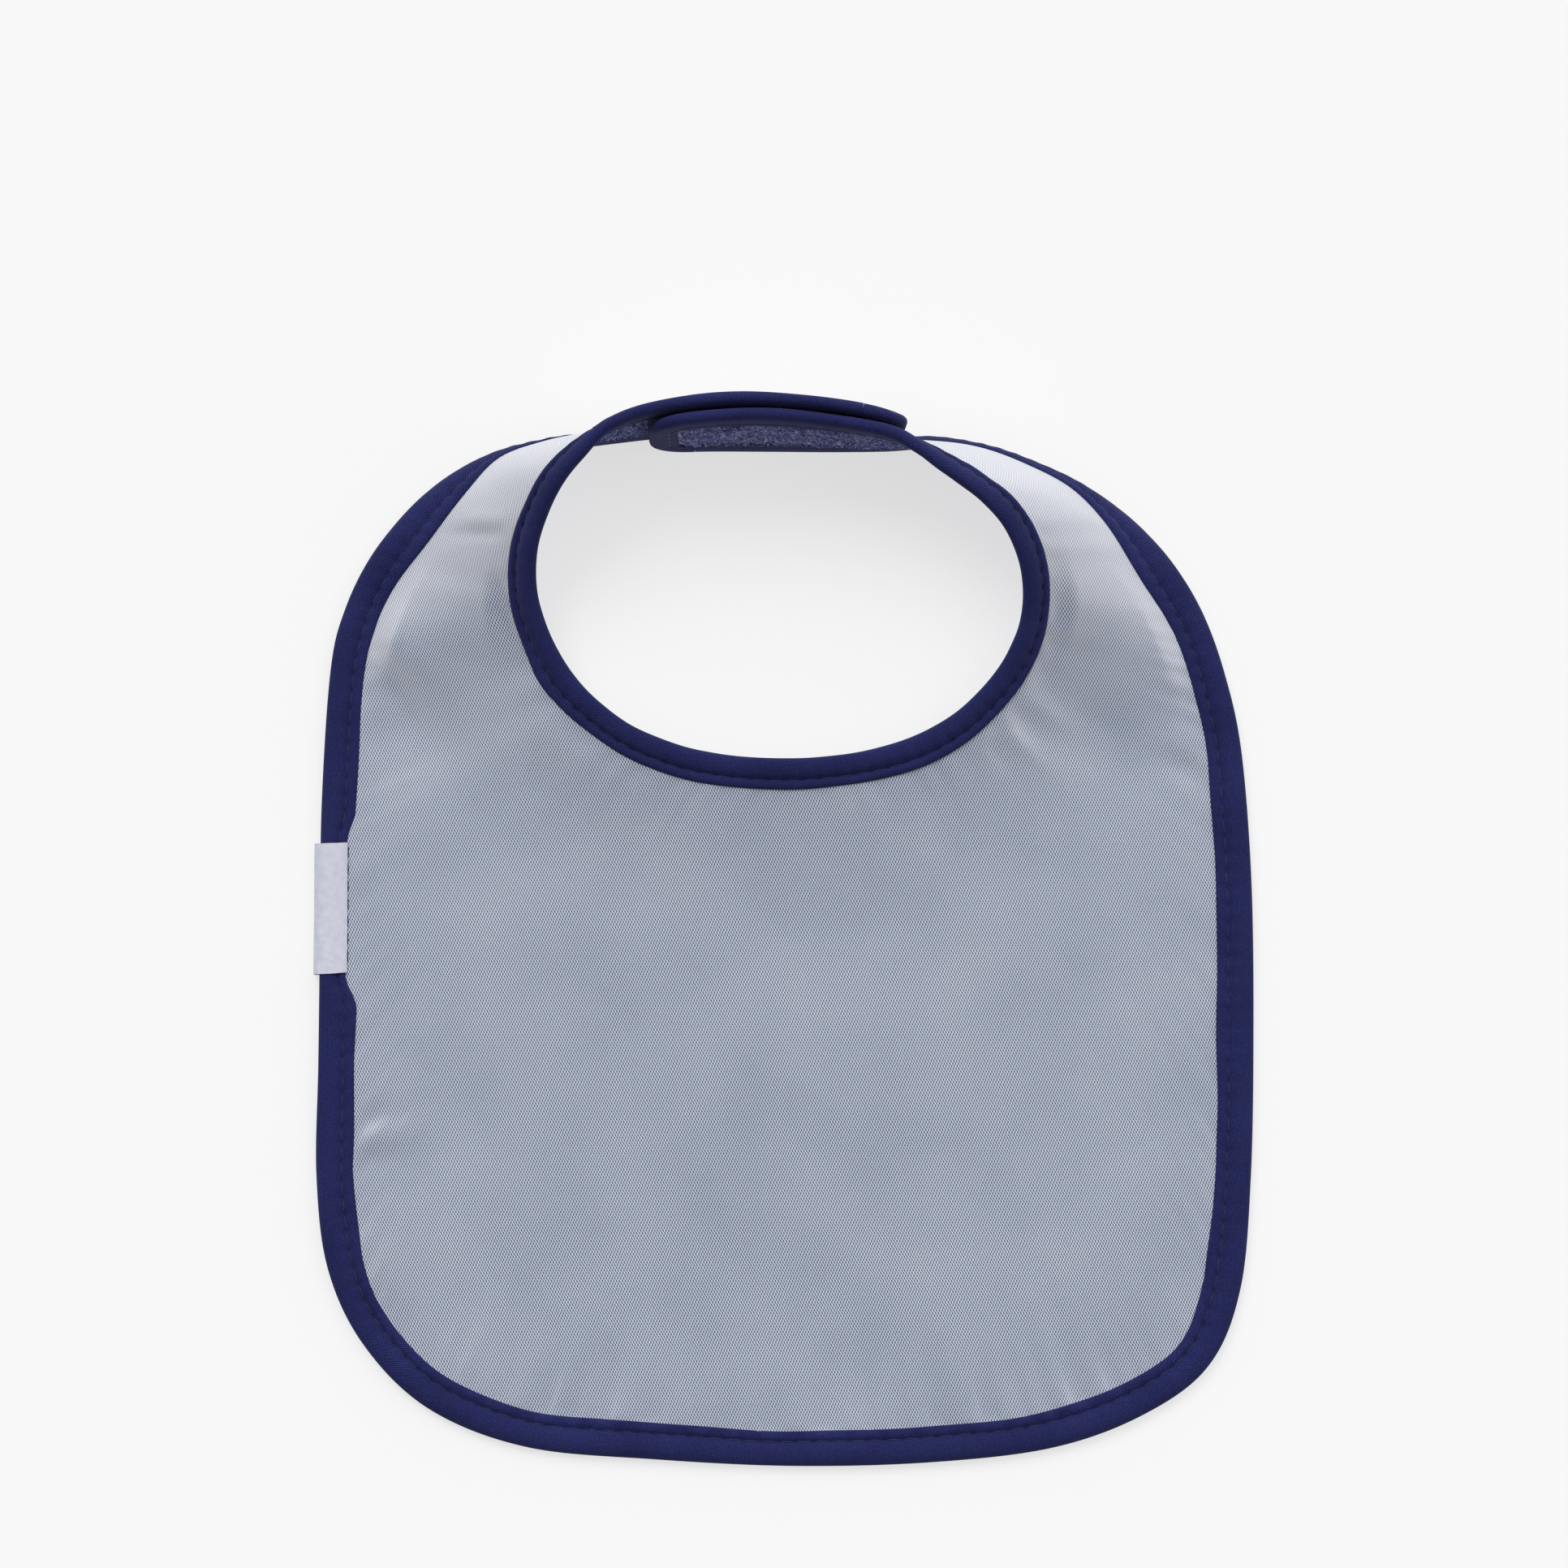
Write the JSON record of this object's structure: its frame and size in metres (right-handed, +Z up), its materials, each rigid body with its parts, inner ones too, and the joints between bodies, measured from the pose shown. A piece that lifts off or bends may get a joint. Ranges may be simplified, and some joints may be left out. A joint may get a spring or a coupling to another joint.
{
  "type": "baby bib",
  "caption": "Sewn baby bib, waterproof side up, with a bound edge and two neck straps that lap and close at the back.",
  "frame": {"origin": "centre of the base of the whole bib's box, on the surface it lies on", "axes": "+Y from the hem to the back of the neck, +X towards the wearer's right strap (the inner strap), +Z up from the table"},
  "size_m": [0.2486, 0.2786, 0.0365],
  "materials": {
    "coated_cloth": "coated dot weave, soft sheen",
    "terry": "looped terry pile",
    "binding": "plain-weave cotton cut on the bias",
    "thread": "polyester sewing thread",
    "satin": "blank satin",
    "loop_tape": "brushed loop pile",
    "hook_tape": "moulded hooks"
  },
  "bodies": {
    "bib_body": {"waterproof_backing": "coated_cloth", "terry_front": "terry", "outer_binding": "binding", "neck_binding": "binding", "outer_binding_thread": "thread", "neck_binding_thread": "thread", "side_label": "satin", "label_thread": "satin"},
    "outer_strap": {"outer_strap_backing": "coated_cloth", "outer_strap_terry": "terry", "outer_strap_outer_binding": "binding", "outer_strap_neck_binding": "binding", "outer_strap_outer_thread": "thread", "outer_strap_neck_thread": "thread", "loop_patch": "loop_tape", "loop_patch_thread": "thread"},
    "inner_strap": {"inner_strap_backing": "coated_cloth", "inner_strap_terry": "terry", "inner_strap_outer_binding": "binding", "inner_strap_neck_binding": "binding", "inner_strap_outer_thread": "thread", "inner_strap_neck_thread": "thread", "hook_patch": "hook_tape", "hook_patch_thread": "thread"}
  },
  "joints": [
    {"name": "outer_strap_swing", "type": "hinge", "parent": "bib_body", "child": "outer_strap", "pos_m": [-0.038, 0.1365, 0.018], "axis": [0, 0, 1], "range_deg": [0, 75]},
    {"name": "inner_strap_swing", "type": "hinge", "parent": "bib_body", "child": "inner_strap", "pos_m": [0.027, 0.1274, 0.018], "axis": [0, 0, 1], "range_deg": [0, 40]}
  ]
}
